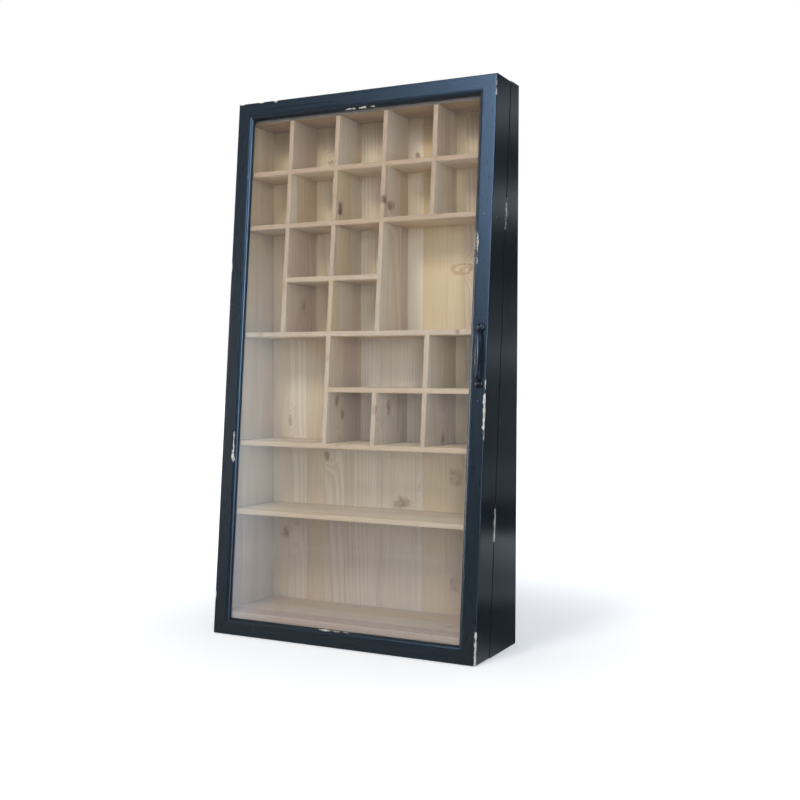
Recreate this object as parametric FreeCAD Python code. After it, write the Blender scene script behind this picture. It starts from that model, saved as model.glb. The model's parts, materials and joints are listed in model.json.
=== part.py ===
"""Wall display cabinet: a painted wedge-shaped case, a pine tray of compartments and a deep glazed door.

Millimetres, +Z up, front towards -Y, origin in the middle of the base of the case. The door plane leans
back towards the top, so the case is deepest at the bottom. Depths called n are measured square to the door
plane, from the door's front face inwards. The pieces are drawn with the back on Y = 0 and moved once.
"""
import FreeCAD, Part
import math
import os

from FreeCAD import Vector

os.makedirs("parts", exist_ok=True)

# Compartments
CELL_WIDTH = 89.8
CELL_HEIGHT = 92.5
LOW_ROW_HEIGHT = 119.0
BASE_ROW_HEIGHT = 180.0
COLUMNS = 5
CELL_ROWS = 6
SHELF_THICK = 9.0
GROOVE_DEPTH = 2.0

# Pine tray
TRAY_WALL = 6.5
TRAY_END = 20.0
TRAY_SETBACK = 12.0
WALL_GROOVE = 3.0

# Painted case
SIDE_THICK = 13.5
TOP_THICK = 21.0
BOTTOM_THICK = 22.0
DEPTH_BOTTOM = 188.0
DEPTH_TOP = 104.0
PACKING_THICK = 4.0

# Back boards
BACK_THICK = 9.0
BACK_INSET = 5.0
BACK_BOARDS = 6
TONGUE_WIDTH = 4.0
TONGUE_THICK = 3.0
TONGUE_PLAY = 0.3

# Door frame
DOOR_DEPTH = 62.5
SEAM_GAP = 3.0
DOOR_END_GAP = 1.5
DOOR_TRIM = 3.0
RETURN_THICK = 12.0
FLAT_WIDTH = 25.0
BEAD_WIDTH = 8.0
BEAD_STEP = 1.2
BEAD_DEPTH = 7.0
BEAD_BULGE = 1.7
LIP_THICK = 8.0
GLASS_THICK = 2.0
GLASS_OVERLAP = 13.0
GLASS_PLAY = 0.5
EDGE_ROUND = 1.5

# Glass clips
CLIP_WIDTH = 20.0
CLIP_THICK = 0.8
CLIP_HOLD = 6.0
CLIP_EDGE = 1.5
CLIPS_PER_STILE = 3
CLIPS_PER_RAIL = 2
CLIP_END = 130.0

# Hinges
HINGE_LENGTH = 50.0
HINGE_END = 150.0
LEAF_THICK = 1.2
LEAF_WIDTH = 11.0
KNUCKLE_RADIUS = 3.0
KNUCKLE_PLAY = 0.3
PIN_RADIUS = 1.4
PIN_PLAY = 0.05
PIN_SNUG = 0.02
PIN_HEAD_RADIUS = 2.4
PIN_HEAD_HEIGHT = 1.5
HINGE_SCREWS = 3

# Countersunk wood screws
SCREW_HEAD_RADIUS = 2.2
SCREW_SHANK_RADIUS = 1.1
SCREW_LENGTH = 9.0

# Magnetic catch
MAGNET_RADIUS = 4.0
MAGNET_LENGTH = 10.0
MAGNET_PLAY = 0.05
MAGNET_INSET = 6.5
STRIKE_RADIUS = 5.0
STRIKE_THICK = 1.2
CATCH_GAP = 0.5
CATCH_END = 160.0

# Bow handle
HANDLE_CENTRES = 96.0
HANDLE_HEIGHT = 517.0
HANDLE_INSET = 12.0
HANDLE_REACH = 18.0
HANDLE_BEND = 11.0
HANDLE_ROD_RADIUS = 2.8
GRIP_RADIUS = 4.6
ROSETTE_RADIUS = 7.5
ROSETTE_THICK = 3.2
ROSETTE_BASE = 1.6
ROSETTE_TOP_RADIUS = 5.6
FOOT_SHIFT = 6.5
HANDLE_SCREW_RADIUS = 3.2
HANDLE_SCREW_DOME = 1.6
HANDLE_SCREW_SHANK = 1.5
HANDLE_SCREW_LENGTH = 9.0

# Hanging plates
PLATE_WIDTH = 60.0
PLATE_HEIGHT = 16.0
PLATE_THICK = 2.0
PLATE_HOLE_RADIUS = 4.5
PLATE_SPACING = 360.0
PLATE_SCREW_SPREAD = 44.0
POCKET_RADIUS = 7.0
POCKET_DEPTH = 12.0

# Sizes that follow
INNER_WIDTH = COLUMNS * CELL_WIDTH + (COLUMNS - 1) * SHELF_THICK
WIDTH = INNER_WIDTH + 2 * TRAY_WALL + PACKING_THICK + 2 * SIDE_THICK
HALF = WIDTH / 2
FLOOR_Z = BOTTOM_THICK + TRAY_END
CEILING_Z = (FLOOR_Z + BASE_ROW_HEIGHT + LOW_ROW_HEIGHT + CELL_ROWS * CELL_HEIGHT
             + (CELL_ROWS + 1) * SHELF_THICK)
HEIGHT = CEILING_Z + TRAY_END + TOP_THICK
SLOPE = math.atan2(DEPTH_BOTTOM - DEPTH_TOP, HEIGHT)
BACK_FACE = -(BACK_INSET + BACK_THICK)
CASE_N = DOOR_DEPTH + SEAM_GAP
SHOULDER_N = LIP_THICK + GLASS_THICK
SIGHT_U = FLAT_WIDTH + BEAD_WIDTH
GLASS_U = SIGHT_U - GLASS_OVERLAP
TRAY_LEFT = -HALF + SIDE_THICK + TRAY_WALL
TRAY_RIGHT = TRAY_LEFT + INNER_WIDTH
DOOR_LOW = DOOR_END_GAP
DOOR_HIGH = HEIGHT - DOOR_END_GAP
V_LOW = DOOR_LOW / math.cos(SLOPE)
V_HIGH = DOOR_HIGH / math.cos(SLOPE)
MOULD_LOW = V_LOW - DOOR_TRIM
HINGE_X = -HALF - KNUCKLE_RADIUS - KNUCKLE_PLAY
HINGE_N = DOOR_DEPTH + SEAM_GAP / 2
BACKWARD = Vector(0, math.cos(SLOPE), -math.sin(SLOPE))
FORWARD = BACKWARD * -1

nodes = {}


def front_y(n, z):
    """Y of the plane that lies n behind the door's front face, at height z."""
    y = -(DEPTH_BOTTOM + (DEPTH_TOP - DEPTH_BOTTOM) * z / HEIGHT)
    return y + n / math.cos(SLOPE)


def tilt(shape):
    """Carry a shape drawn in door space (x, n, v) to its place in the cabinet."""
    placed = shape.copy()
    placed.rotate(Vector(0, 0, 0), Vector(1, 0, 0), -math.degrees(SLOPE))
    placed.translate(Vector(0, -DEPTH_BOTTOM, 0))
    return placed


def door_point(x, n, v):
    """The cabinet point of a door-space point."""
    return Vector(x, -DEPTH_BOTTOM + n * math.cos(SLOPE) + v * math.sin(SLOPE),
                  v * math.cos(SLOPE) - n * math.sin(SLOPE))


def v_at(n, z):
    """Door-space v of the point n behind the front face at height z."""
    return (z + n * math.sin(SLOPE)) / math.cos(SLOPE)


def prism(points, along):
    """A solid swept along a vector from a closed outline of points."""
    return Part.Face(Part.makePolygon(points + points[:1])).extrude(along)


def board(x0, x1, z0, z1, n_front, y_back=None, n_back=None):
    """A level or upright board whose front edge follows the slope of the door."""
    if n_back is None:
        rear = (y_back, y_back)
    else:
        rear = (front_y(n_back, z0), front_y(n_back, z1))
    outline = [Vector(x0, rear[0], z0), Vector(x0, front_y(n_front, z0), z0),
               Vector(x0, front_y(n_front, z1), z1), Vector(x0, rear[1], z1)]
    return prism(outline, Vector(x1 - x0, 0, 0))


def box(x0, x1, y0, y1, z0, z1):
    """A plain block between two corners."""
    return Part.makeBox(x1 - x0, y1 - y0, z1 - z0, Vector(x0, y0, z0))


def countersunk_screw(point, direction):
    """A countersunk wood screw whose flat head lies at point."""
    head = SCREW_HEAD_RADIUS - SCREW_SHANK_RADIUS
    cone = Part.makeCone(SCREW_HEAD_RADIUS, SCREW_SHANK_RADIUS, head, point, direction)
    shank = Part.makeCylinder(SCREW_SHANK_RADIUS, SCREW_LENGTH, point, direction)
    return cone.fuse(shank).removeSplitter()


def group(shapes):
    """Several separate solids kept in one node."""
    return Part.makeCompound(shapes)


def tray():
    """Pine walls, shelves and dividers, each let into its neighbour by a shallow groove."""
    def upright(line, z0, z1):
        x = TRAY_LEFT + line * (CELL_WIDTH + SHELF_THICK) - SHELF_THICK
        return board(x, x + SHELF_THICK, z0 - GROOVE_DEPTH, z1 + GROOVE_DEPTH, TRAY_SETBACK, BACK_FACE)

    def level(x0, x1, z):
        return board(x0, x1, z, z + SHELF_THICK, TRAY_SETBACK, BACK_FACE)

    def right_face(line):
        return TRAY_LEFT + line * (CELL_WIDTH + SHELF_THICK)

    shelf_z = {7: FLOOR_Z + BASE_ROW_HEIGHT}
    shelf_z[6] = shelf_z[7] + SHELF_THICK + LOW_ROW_HEIGHT
    for number in range(5, 0, -1):
        shelf_z[number] = shelf_z[number + 1] + SHELF_THICK + CELL_HEIGHT
    row = {1: (shelf_z[1] + SHELF_THICK, CEILING_Z)}
    for number in range(2, CELL_ROWS + 1):
        row[number] = (shelf_z[number] + SHELF_THICK, shelf_z[number - 1])

    shelves = {}
    for number in (1, 2, 4, 6, 7):
        shelves["shelf_%d" % number] = level(TRAY_LEFT - WALL_GROOVE, TRAY_RIGHT + WALL_GROOVE,
                                             shelf_z[number])
    short_left = right_face(1) - GROOVE_DEPTH
    short_right = right_face(3) - SHELF_THICK + GROOVE_DEPTH
    short_shelves = {
        "short_shelf_upper": level(short_left, short_right, shelf_z[3]),
        "short_shelf_lower": level(right_face(2) - GROOVE_DEPTH, TRAY_RIGHT + WALL_GROOVE, shelf_z[5])}
    tall_dividers = {
        "tall_divider_upper_1": upright(1, row[4][0], row[3][1]),
        "tall_divider_upper_2": upright(3, row[4][0], row[3][1]),
        "tall_divider_lower": upright(2, row[6][0], row[5][1])}
    dividers = {}
    for number, lines in ((1, (1, 2, 3, 4)), (2, (1, 2, 3, 4)), (3, (2,)), (4, (2,)), (5, (4,)), (6, (3, 4))):
        for line in lines:
            dividers["divider_row%d_line%d" % (number, line)] = upright(line, *row[number])

    levels = list(shelves.values()) + list(short_shelves.values())
    for name, x0 in (("tray_side_left", TRAY_LEFT - TRAY_WALL), ("tray_side_right", TRAY_RIGHT)):
        wall = board(x0, x0 + TRAY_WALL, BOTTOM_THICK, CEILING_Z + TRAY_END, TRAY_SETBACK, BACK_FACE)
        nodes[name] = wall.cut(levels)
    for name, z0 in (("tray_bottom", BOTTOM_THICK), ("tray_top", CEILING_Z)):
        end = board(TRAY_LEFT, TRAY_RIGHT, z0, z0 + TRAY_END, TRAY_SETBACK, BACK_FACE)
        nodes[name] = end.cut(list(dividers.values()))
    for name, shelf in shelves.items():
        nodes[name] = shelf.cut(list(dividers.values()) + list(tall_dividers.values()))
    for name, shelf in short_shelves.items():
        nodes[name] = shelf.cut(list(dividers.values()))
    for name, divider in tall_dividers.items():
        nodes[name] = divider.cut(list(short_shelves.values()))
    nodes.update(dividers)


def back_boards():
    """Upright tongued and grooved boards behind the tray."""
    left = -HALF + SIDE_THICK
    width = (WIDTH - 2 * SIDE_THICK) / BACK_BOARDS
    low, high = BOTTOM_THICK, HEIGHT - TOP_THICK
    middle = BACK_FACE + BACK_THICK / 2
    for i in range(BACK_BOARDS):
        x0 = left + i * width
        plank = box(x0, x0 + width, BACK_FACE, -BACK_INSET, low, high)
        if i > 0:
            reach = TONGUE_WIDTH + TONGUE_PLAY
            half = TONGUE_THICK / 2 + TONGUE_PLAY
            plank = plank.cut(box(x0, x0 + reach, middle - half, middle + half, low, high))
        if i < BACK_BOARDS - 1:
            half = TONGUE_THICK / 2
            plank = plank.fuse(box(x0 + width, x0 + width + TONGUE_WIDTH, middle - half, middle + half,
                                   low, high))
        nodes["back_board_%d" % (i + 1)] = plank.removeSplitter()


def case():
    """Painted sides, top and bottom, and the packing board that keeps the tray clear of the door's swing."""
    nodes["case_side_left"] = board(-HALF, -HALF + SIDE_THICK, 0, HEIGHT, CASE_N, 0)
    nodes["case_side_right"] = board(HALF - SIDE_THICK, HALF, 0, HEIGHT, CASE_N, 0)
    inner = HALF - SIDE_THICK
    nodes["case_bottom"] = board(-inner, inner, 0, BOTTOM_THICK, CASE_N, 0)
    nodes["case_top"] = board(-inner, inner, HEIGHT - TOP_THICK, HEIGHT, CASE_N, 0)
    nodes["packing_board"] = board(TRAY_RIGHT + TRAY_WALL, inner, BOTTOM_THICK, HEIGHT - TOP_THICK,
                                   CASE_N, BACK_FACE)


def hanging_plates():
    """Two plates let into the back edge of the top, each over a pocket for the head of a wall screw."""
    centre_z = HEIGHT - TOP_THICK / 2
    plates = []
    screws = []
    top = nodes["case_top"]
    for side in (-1, 1):
        x = side * PLATE_SPACING / 2
        plate = box(x - PLATE_WIDTH / 2, x + PLATE_WIDTH / 2, -PLATE_THICK, 0,
                    centre_z - PLATE_HEIGHT / 2, centre_z + PLATE_HEIGHT / 2)
        inward = Vector(0, -1, 0)
        pocket = Part.makeCylinder(POCKET_RADIUS, PLATE_THICK + POCKET_DEPTH, Vector(x, 0, centre_z), inward)
        top = top.cut([plate, pocket])
        plate = plate.cut(Part.makeCylinder(PLATE_HOLE_RADIUS, PLATE_THICK, Vector(x, 0, centre_z), inward))
        for end in (-1, 1):
            screw = countersunk_screw(Vector(x + end * PLATE_SCREW_SPREAD / 2, 0, centre_z), inward)
            plate = plate.cut(screw)
            top = top.cut(screw)
            screws.append(screw)
        plates.append(plate)
    nodes["case_top"] = top
    nodes["hanging_plates"] = group(plates)
    nodes["hanging_plate_screws"] = group(screws)


def frame_section(start, across, drift):
    """Outline of the front of the door frame: flat face, stepped bead, lip and glass rebate.

    start is a point of the outer edge, across the way inwards, and drift the lean of the outer face.
    """
    def at(u, n):
        return start + across * u + Vector(0, n, 0)

    corner = EDGE_ROUND * (1 - math.cos(math.radians(45)))
    chord = Vector(BEAD_WIDTH, BEAD_DEPTH - BEAD_STEP, 0)
    outward = Vector(chord.y, -chord.x, 0).normalize() * BEAD_BULGE
    crown = Vector(FLAT_WIDTH, BEAD_STEP, 0) + chord * 0.5 + outward
    outer = at(drift * EDGE_ROUND, EDGE_ROUND)
    edges = [Part.Arc(outer, at(corner, corner), at(EDGE_ROUND, 0)).toShape(),
             Part.makeLine(at(EDGE_ROUND, 0), at(FLAT_WIDTH, 0)),
             Part.makeLine(at(FLAT_WIDTH, 0), at(FLAT_WIDTH, BEAD_STEP)),
             Part.Arc(at(FLAT_WIDTH, BEAD_STEP), at(crown.x, crown.y), at(SIGHT_U, BEAD_DEPTH)).toShape()]
    straight = [at(SIGHT_U, BEAD_DEPTH), at(SIGHT_U, LIP_THICK), at(GLASS_U, LIP_THICK),
                at(GLASS_U, SHOULDER_N), at(drift * SHOULDER_N, SHOULDER_N), outer]
    for a, b in zip(straight, straight[1:]):
        edges.append(Part.makeLine(a, b))
    return Part.Face(Part.Wire(edges))


def door_frame():
    """Stiles and rails: mitred moulded fronts on deep returns, the rails' returns butted between.

    The mouldings are all alike, and the foot of the finished door is planed down by DOOR_TRIM.
    """
    reach = SIGHT_U + GLASS_OVERLAP
    blank = box(-HALF, HALF, -DEPTH_BOTTOM - DOOR_DEPTH, DOOR_DEPTH, DOOR_LOW, DOOR_HIGH)

    def quarter(corners):
        outline = [Vector(x, -EDGE_ROUND, v) for x, v in corners]
        return prism(outline, Vector(0, CASE_N, 0))

    for name, side in (("door_stile_left", -1), ("door_stile_right", 1)):
        section = frame_section(Vector(side * HALF, 0, MOULD_LOW - reach), Vector(-side, 0, 0), 0)
        front = section.extrude(Vector(0, 0, V_HIGH - MOULD_LOW + 2 * reach))
        x_out, x_in = side * (HALF + reach), side * (HALF - reach)
        front = front.common(quarter([(x_out, MOULD_LOW - reach), (x_out, V_HIGH + reach),
                                      (x_in, V_HIGH - reach), (x_in, MOULD_LOW + reach)]))
        x_low, x_high = sorted((side * HALF, side * (HALF - RETURN_THICK)))
        back = board(x_low, x_high, DOOR_LOW, DOOR_HIGH, SHOULDER_N, n_back=DOOR_DEPTH)
        nodes[name] = tilt(front).common(blank).fuse(back).removeSplitter()
    for name, v_edge, way, z_edge in (("door_rail_bottom", MOULD_LOW, 1, DOOR_LOW),
                                      ("door_rail_top", V_HIGH, -1, DOOR_HIGH)):
        section = frame_section(Vector(-HALF - reach, 0, v_edge), Vector(0, 0, way), way * math.tan(SLOPE))
        front = section.extrude(Vector(WIDTH + 2 * reach, 0, 0))
        v_out, v_in = v_edge - way * reach, v_edge + way * reach
        front = front.common(quarter([(-HALF - reach, v_out), (HALF + reach, v_out),
                                      (HALF - reach, v_in), (-HALF + reach, v_in)]))
        z_low, z_high = sorted((z_edge, z_edge + way * RETURN_THICK))
        back = board(-HALF + RETURN_THICK, HALF - RETURN_THICK, z_low, z_high, SHOULDER_N, n_back=DOOR_DEPTH)
        nodes[name] = tilt(front).common(blank).fuse(back).removeSplitter()


def glazing():
    """The pane in its rebate, and the clips that hold it from behind."""
    edge = GLASS_U + GLASS_PLAY
    pane = box(-HALF + edge, HALF - edge, LIP_THICK, SHOULDER_N, MOULD_LOW + edge, V_HIGH - edge)
    nodes["door_glass"] = tilt(pane)
    near = RETURN_THICK + CLIP_EDGE
    far = edge + CLIP_HOLD
    screw_u = (near + GLASS_U) / 2
    back = SHOULDER_N + CLIP_THICK
    clips = []
    screws = []

    def clip(low, high, screw_at):
        plate = tilt(box(low[0], high[0], SHOULDER_N, back, low[1], high[1]))
        screw = countersunk_screw(door_point(screw_at[0], back, screw_at[1]), FORWARD)
        clips.append(plate.cut(screw))
        screws.append(screw)

    half = CLIP_WIDTH / 2
    v_step = (V_HIGH - V_LOW - 2 * CLIP_END) / (CLIPS_PER_STILE - 1)
    for i in range(CLIPS_PER_STILE):
        v = V_LOW + CLIP_END + i * v_step
        for side in (-1, 1):
            x0, x1 = sorted((side * (HALF - near), side * (HALF - far)))
            clip((x0, v - half), (x1, v + half), (side * (HALF - screw_u), v))
    x_step = (WIDTH - 2 * CLIP_END) / (CLIPS_PER_RAIL - 1)
    for i in range(CLIPS_PER_RAIL):
        x = -HALF + CLIP_END + i * x_step
        low = v_at(SHOULDER_N, DOOR_LOW)
        high = v_at(SHOULDER_N, DOOR_HIGH)
        clip((x - half, low + near), (x + half, MOULD_LOW + far), (x, (low + near + MOULD_LOW + GLASS_U) / 2))
        clip((x - half, V_HIGH - far), (x + half, high - near), (x, (high - near + V_HIGH - GLASS_U) / 2))
    for name in ("door_stile_left", "door_stile_right", "door_rail_top", "door_rail_bottom"):
        nodes[name] = nodes[name].cut(screws)
    nodes["glass_clips"] = group(clips)
    nodes["glass_clip_screws"] = group(screws)


def hinges():
    """Two butt hinges in the left seam, their knuckles just outside the side of the cabinet."""
    inner = -HALF + LEAF_WIDTH
    third = HINGE_LENGTH / 3
    pins = []
    case_screws = []
    door_screws = []

    def barrel(radius, low, high):
        return Part.makeCylinder(radius, high - low, Vector(HINGE_X, HINGE_N, low), Vector(0, 0, 1))

    for name, middle in (("upper", V_HIGH - HINGE_END), ("lower", V_LOW + HINGE_END)):
        v0, v3 = middle - HINGE_LENGTH / 2, middle + HINGE_LENGTH / 2
        v1, v2 = v0 + third, v3 - third
        room = KNUCKLE_RADIUS + KNUCKLE_PLAY
        case_leaf = box(HINGE_X, inner, CASE_N - LEAF_THICK, CASE_N, v0, v3)
        case_leaf = case_leaf.cut(barrel(room, v1 - KNUCKLE_PLAY, v2 + KNUCKLE_PLAY))
        case_leaf = case_leaf.fuse([barrel(KNUCKLE_RADIUS, v0, v1 - KNUCKLE_PLAY),
                                    barrel(KNUCKLE_RADIUS, v2 + KNUCKLE_PLAY, v3)])
        case_leaf = tilt(case_leaf.cut(barrel(PIN_RADIUS + PIN_SNUG, v0, v3)))
        door_leaf = box(HINGE_X, inner, DOOR_DEPTH, DOOR_DEPTH + LEAF_THICK, v0, v3)
        door_leaf = door_leaf.cut([barrel(room, v0, v1), barrel(room, v2, v3)])
        door_leaf = door_leaf.fuse(barrel(KNUCKLE_RADIUS, v1, v2))
        door_leaf = tilt(door_leaf.cut(barrel(PIN_RADIUS + PIN_PLAY, v0, v3)))
        pin = barrel(PIN_RADIUS, v0 - PIN_HEAD_HEIGHT, v3 + PIN_HEAD_HEIGHT)
        pins.append(tilt(pin.fuse([barrel(PIN_HEAD_RADIUS, v0 - PIN_HEAD_HEIGHT, v0),
                                   barrel(PIN_HEAD_RADIUS, v3, v3 + PIN_HEAD_HEIGHT)]).removeSplitter()))
        for i in range(HINGE_SCREWS):
            v = v0 + HINGE_LENGTH * (i + 0.5) / HINGE_SCREWS
            x = -HALF + LEAF_WIDTH / 2
            case_screw = countersunk_screw(door_point(x, CASE_N - LEAF_THICK, v), BACKWARD)
            door_screw = countersunk_screw(door_point(x, DOOR_DEPTH + LEAF_THICK, v), FORWARD)
            case_leaf = case_leaf.cut(case_screw)
            door_leaf = door_leaf.cut(door_screw)
            case_screws.append(case_screw)
            door_screws.append(door_screw)
        nodes["hinge_%s_case_leaf" % name] = case_leaf.removeSplitter()
        nodes["hinge_%s_door_leaf" % name] = door_leaf.removeSplitter()
    nodes["case_side_left"] = nodes["case_side_left"].cut(case_screws)
    nodes["door_stile_left"] = nodes["door_stile_left"].cut(door_screws)
    nodes["hinge_pins"] = group(pins)
    nodes["hinge_case_screws"] = group(case_screws)
    nodes["hinge_door_screws"] = group(door_screws)


def catch():
    """Round magnets in the front edge of the right side, and steel discs opposite them on the door."""
    x = HALF - MAGNET_INSET
    proud = SEAM_GAP - STRIKE_THICK - CATCH_GAP
    magnets = []
    strikes = []
    side = nodes["case_side_right"]
    for v in (V_LOW + CATCH_END, V_HIGH - CATCH_END):
        face = door_point(x, CASE_N - proud, v)
        magnets.append(Part.makeCylinder(MAGNET_RADIUS, MAGNET_LENGTH, face, BACKWARD))
        side = side.cut(Part.makeCylinder(MAGNET_RADIUS + MAGNET_PLAY, MAGNET_LENGTH, face, BACKWARD))
        strikes.append(Part.makeCylinder(STRIKE_RADIUS, STRIKE_THICK, door_point(x, DOOR_DEPTH, v), BACKWARD))
    nodes["case_side_right"] = side
    nodes["catch_magnets"] = group(magnets)
    nodes["strike_discs"] = group(strikes)


def handle():
    """Bow pull: two round feet with a screw each, a bent rod and a swelling grip."""
    x = HALF - HANDLE_INSET
    centre = v_at(0, HANDLE_HEIGHT)
    leg = HANDLE_CENTRES / 2 - FOOT_SHIFT
    rod_n = -(HANDLE_REACH - GRIP_RADIUS)
    outward = Vector(0, -1, 0)

    def at(n, v):
        return Vector(x, n, centre + v)

    half = leg - HANDLE_BEND
    swell = Part.Face(Part.Wire([
        Part.Arc(at(rod_n - HANDLE_ROD_RADIUS, -half), at(rod_n - GRIP_RADIUS, 0),
                 at(rod_n - HANDLE_ROD_RADIUS, half)).toShape(),
        Part.makeLine(at(rod_n - HANDLE_ROD_RADIUS, half), at(rod_n, half)),
        Part.makeLine(at(rod_n, half), at(rod_n, -half)),
        Part.makeLine(at(rod_n, -half), at(rod_n - HANDLE_ROD_RADIUS, -half))]))
    pull = swell.revolve(at(rod_n, 0), Vector(0, 0, 1), 360)
    pieces = []
    screws = []
    shanks = []
    for way in (-1, 1):
        knee = at(rod_n + HANDLE_BEND, way * leg)
        ring = Part.Face(Part.Wire(Part.makeCircle(HANDLE_ROD_RADIUS, knee, outward)))
        pieces.append(ring.revolve(at(rod_n + HANDLE_BEND, way * half), Vector(1, 0, 0), way * 90))
        pieces.append(ring.extrude(at(0, way * leg) - knee))
        foot = at(0, way * HANDLE_CENTRES / 2)
        pieces.append(Part.makeCylinder(ROSETTE_RADIUS, ROSETTE_BASE, foot, outward))
        rise = ROSETTE_THICK - ROSETTE_BASE
        pieces.append(Part.makeCone(ROSETTE_RADIUS, ROSETTE_TOP_RADIUS, rise, foot + outward * ROSETTE_BASE,
                                    outward))
        seat = foot + outward * ROSETTE_THICK
        dome_radius = (HANDLE_SCREW_RADIUS ** 2 + HANDLE_SCREW_DOME ** 2) / (2 * HANDLE_SCREW_DOME)
        ball = Part.makeSphere(dome_radius, seat + outward * (HANDLE_SCREW_DOME - dome_radius))
        dome = ball.common(Part.makeCylinder(ROSETTE_RADIUS, HANDLE_SCREW_DOME, seat, outward))
        shank = Part.makeCylinder(HANDLE_SCREW_SHANK, HANDLE_SCREW_LENGTH, seat, Vector(0, 1, 0))
        screws.append(dome.fuse(shank).removeSplitter())
        shanks.append(shank)
    for piece in pieces:
        pull = pull.fuse(piece)
    pull = pull.removeSplitter()
    for shank in shanks:
        pull = pull.cut(shank)
    nodes["handle"] = tilt(pull)
    nodes["handle_screws"] = tilt(group(screws))
    nodes["door_stile_right"] = nodes["door_stile_right"].cut(nodes["handle_screws"].Solids)


def export():
    """Move every node so that the origin is in the middle of the base, and write one file each."""
    base_middle = Vector(0, front_y(CASE_N, 0) / 2, 0)
    for name, shape in nodes.items():
        placed = shape.copy()
        placed.translate(base_middle * -1)
        placed.exportStep("parts/%s.step" % name)
    print(len(nodes), "nodes, width %.1f, height %.1f, slope %.2f deg" % (WIDTH, HEIGHT, math.degrees(SLOPE)))


case()
hanging_plates()
tray()
back_boards()
door_frame()
glazing()
hinges()
catch()
handle()
export()
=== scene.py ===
# %% [markdown]
# # A worn display cabinet with a sloping glazed door
# The cabinet is a shallow wedge of painted pine: deep at the foot, slim at the top, with a deep door
# frame hinged on the left and a grid of bare pine compartments behind the pane. The CAD model already
# holds every board at its true place, so this lesson only dresses it. We load it first. Nothing that
# we add may grow past it.

# %% Load the imported cabinet
import json
import math

import bmesh
import bpy
from mathutils import Matrix, Vector, noise


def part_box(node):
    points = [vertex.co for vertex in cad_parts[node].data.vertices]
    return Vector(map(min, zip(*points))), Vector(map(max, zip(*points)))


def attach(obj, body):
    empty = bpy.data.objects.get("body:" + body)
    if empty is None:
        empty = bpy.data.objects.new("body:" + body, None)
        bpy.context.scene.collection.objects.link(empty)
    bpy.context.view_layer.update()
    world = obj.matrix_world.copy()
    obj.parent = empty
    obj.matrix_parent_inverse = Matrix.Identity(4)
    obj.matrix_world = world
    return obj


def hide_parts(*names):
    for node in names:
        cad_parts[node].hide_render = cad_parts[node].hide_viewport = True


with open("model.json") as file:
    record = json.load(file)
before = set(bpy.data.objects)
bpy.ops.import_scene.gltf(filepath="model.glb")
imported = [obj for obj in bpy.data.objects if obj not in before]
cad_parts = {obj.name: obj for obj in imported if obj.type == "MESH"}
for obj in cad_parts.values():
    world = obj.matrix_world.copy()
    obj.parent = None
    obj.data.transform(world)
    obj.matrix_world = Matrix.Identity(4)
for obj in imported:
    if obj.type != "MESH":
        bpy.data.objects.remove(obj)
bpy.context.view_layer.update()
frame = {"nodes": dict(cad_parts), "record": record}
MM = 0.001

# %% [markdown]
# ## The camera
# The picture was taken from the right, at about half the cabinet's height. The eye and the three angles
# were found by fitting the corners of the frame and of the compartments. We write the turns as a product
# of rotations, so that each angle keeps its plain meaning: turn left, look down, tilt.

# %% Camera
IMAGE_PIXELS = 800
FOCAL_PIXELS = 1116.34
SENSOR_WIDTH = 36.0
EYE = Vector((0.97545, -1.82544, 0.48698))
TURN, LOOK_UP, TILT = 0.46484, -0.02417, 0.00388

camera_data = bpy.data.cameras.new("camera")
camera_data.sensor_width = SENSOR_WIDTH
camera_data.lens = FOCAL_PIXELS * SENSOR_WIDTH / IMAGE_PIXELS
camera = bpy.data.objects.new("camera", camera_data)
bpy.context.collection.objects.link(camera)
level_turn = Matrix.Rotation(TURN, 4, "Z") @ Matrix.Rotation(math.pi / 2 + LOOK_UP, 4, "X")
camera.matrix_world = Matrix.Translation(EYE) @ level_turn @ Matrix.Rotation(TILT, 4, "Z")
bpy.context.scene.camera = camera
bpy.context.scene.view_settings.view_transform = "Standard"
print("lens in mm", round(camera_data.lens, 2))

# %% [markdown]
# ## The sloping plane of the door
# The door leans back with the front edges of the case, so it is easiest to think in the door's own
# space: x across, n into the door from its front face, v up along the slope. The lean comes from the
# hinge line in the record, and the outer sizes from the boxes of the CAD nodes.

# %% Door space
hinge_line = Vector(frame["record"]["behaviour"]["joints"][0]["axis"])
UP_DOOR = -hinge_line
INTO_DOOR = Vector((0, UP_DOOR.z, -UP_DOOR.y))
LEAN = UP_DOOR.y / UP_DOOR.z

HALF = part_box("case_side_right")[1].x
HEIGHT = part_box("case_top")[1].z
WALL_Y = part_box("case_side_right")[1].y
DOOR_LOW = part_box("door_rail_bottom")[0].z
DOOR_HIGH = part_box("door_rail_top")[1].z
DEPTH_BOTTOM = 188 * MM
front_foot = Vector((0, WALL_Y - DEPTH_BOTTOM, 0))


def door_point(x, n, v):
    """A point of the door's own space as a point of the cabinet."""
    return front_foot + Vector((x, 0, 0)) + INTO_DOOR * n + UP_DOOR * v


def v_at(n, z):
    """How far up the slope the depth n reaches the height z."""
    return (z + n * UP_DOOR.y) / UP_DOOR.z


V_LOW, V_HIGH = v_at(0, DOOR_LOW), v_at(0, DOOR_HIGH)
print("lean in degrees", round(math.degrees(math.atan(LEAN)), 2), "door from", V_LOW, "to", V_HIGH)

# %% [markdown]
# ## A small workbench for finishes
# Every finish is a tree of nodes. Adding nodes by hand takes many lines, so one function adds a node
# with its values and links, and one small class holds the few steps that the finishes here share.

# %% Finish workbench
X, Y, Z = 0, 1, 2


def grow(tree, kind, inputs=None, **settings):
    """Adds a node to a tree of any kind. A value or a socket may stand for each input."""
    node = tree.nodes.new(kind)
    for key, value in settings.items():
        setattr(node, key, value)
    for key, value in (inputs or {}).items():
        if isinstance(value, bpy.types.NodeSocket):
            tree.links.new(value, node.inputs[key])
        else:
            node.inputs[key].default_value = value
    return node


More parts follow.
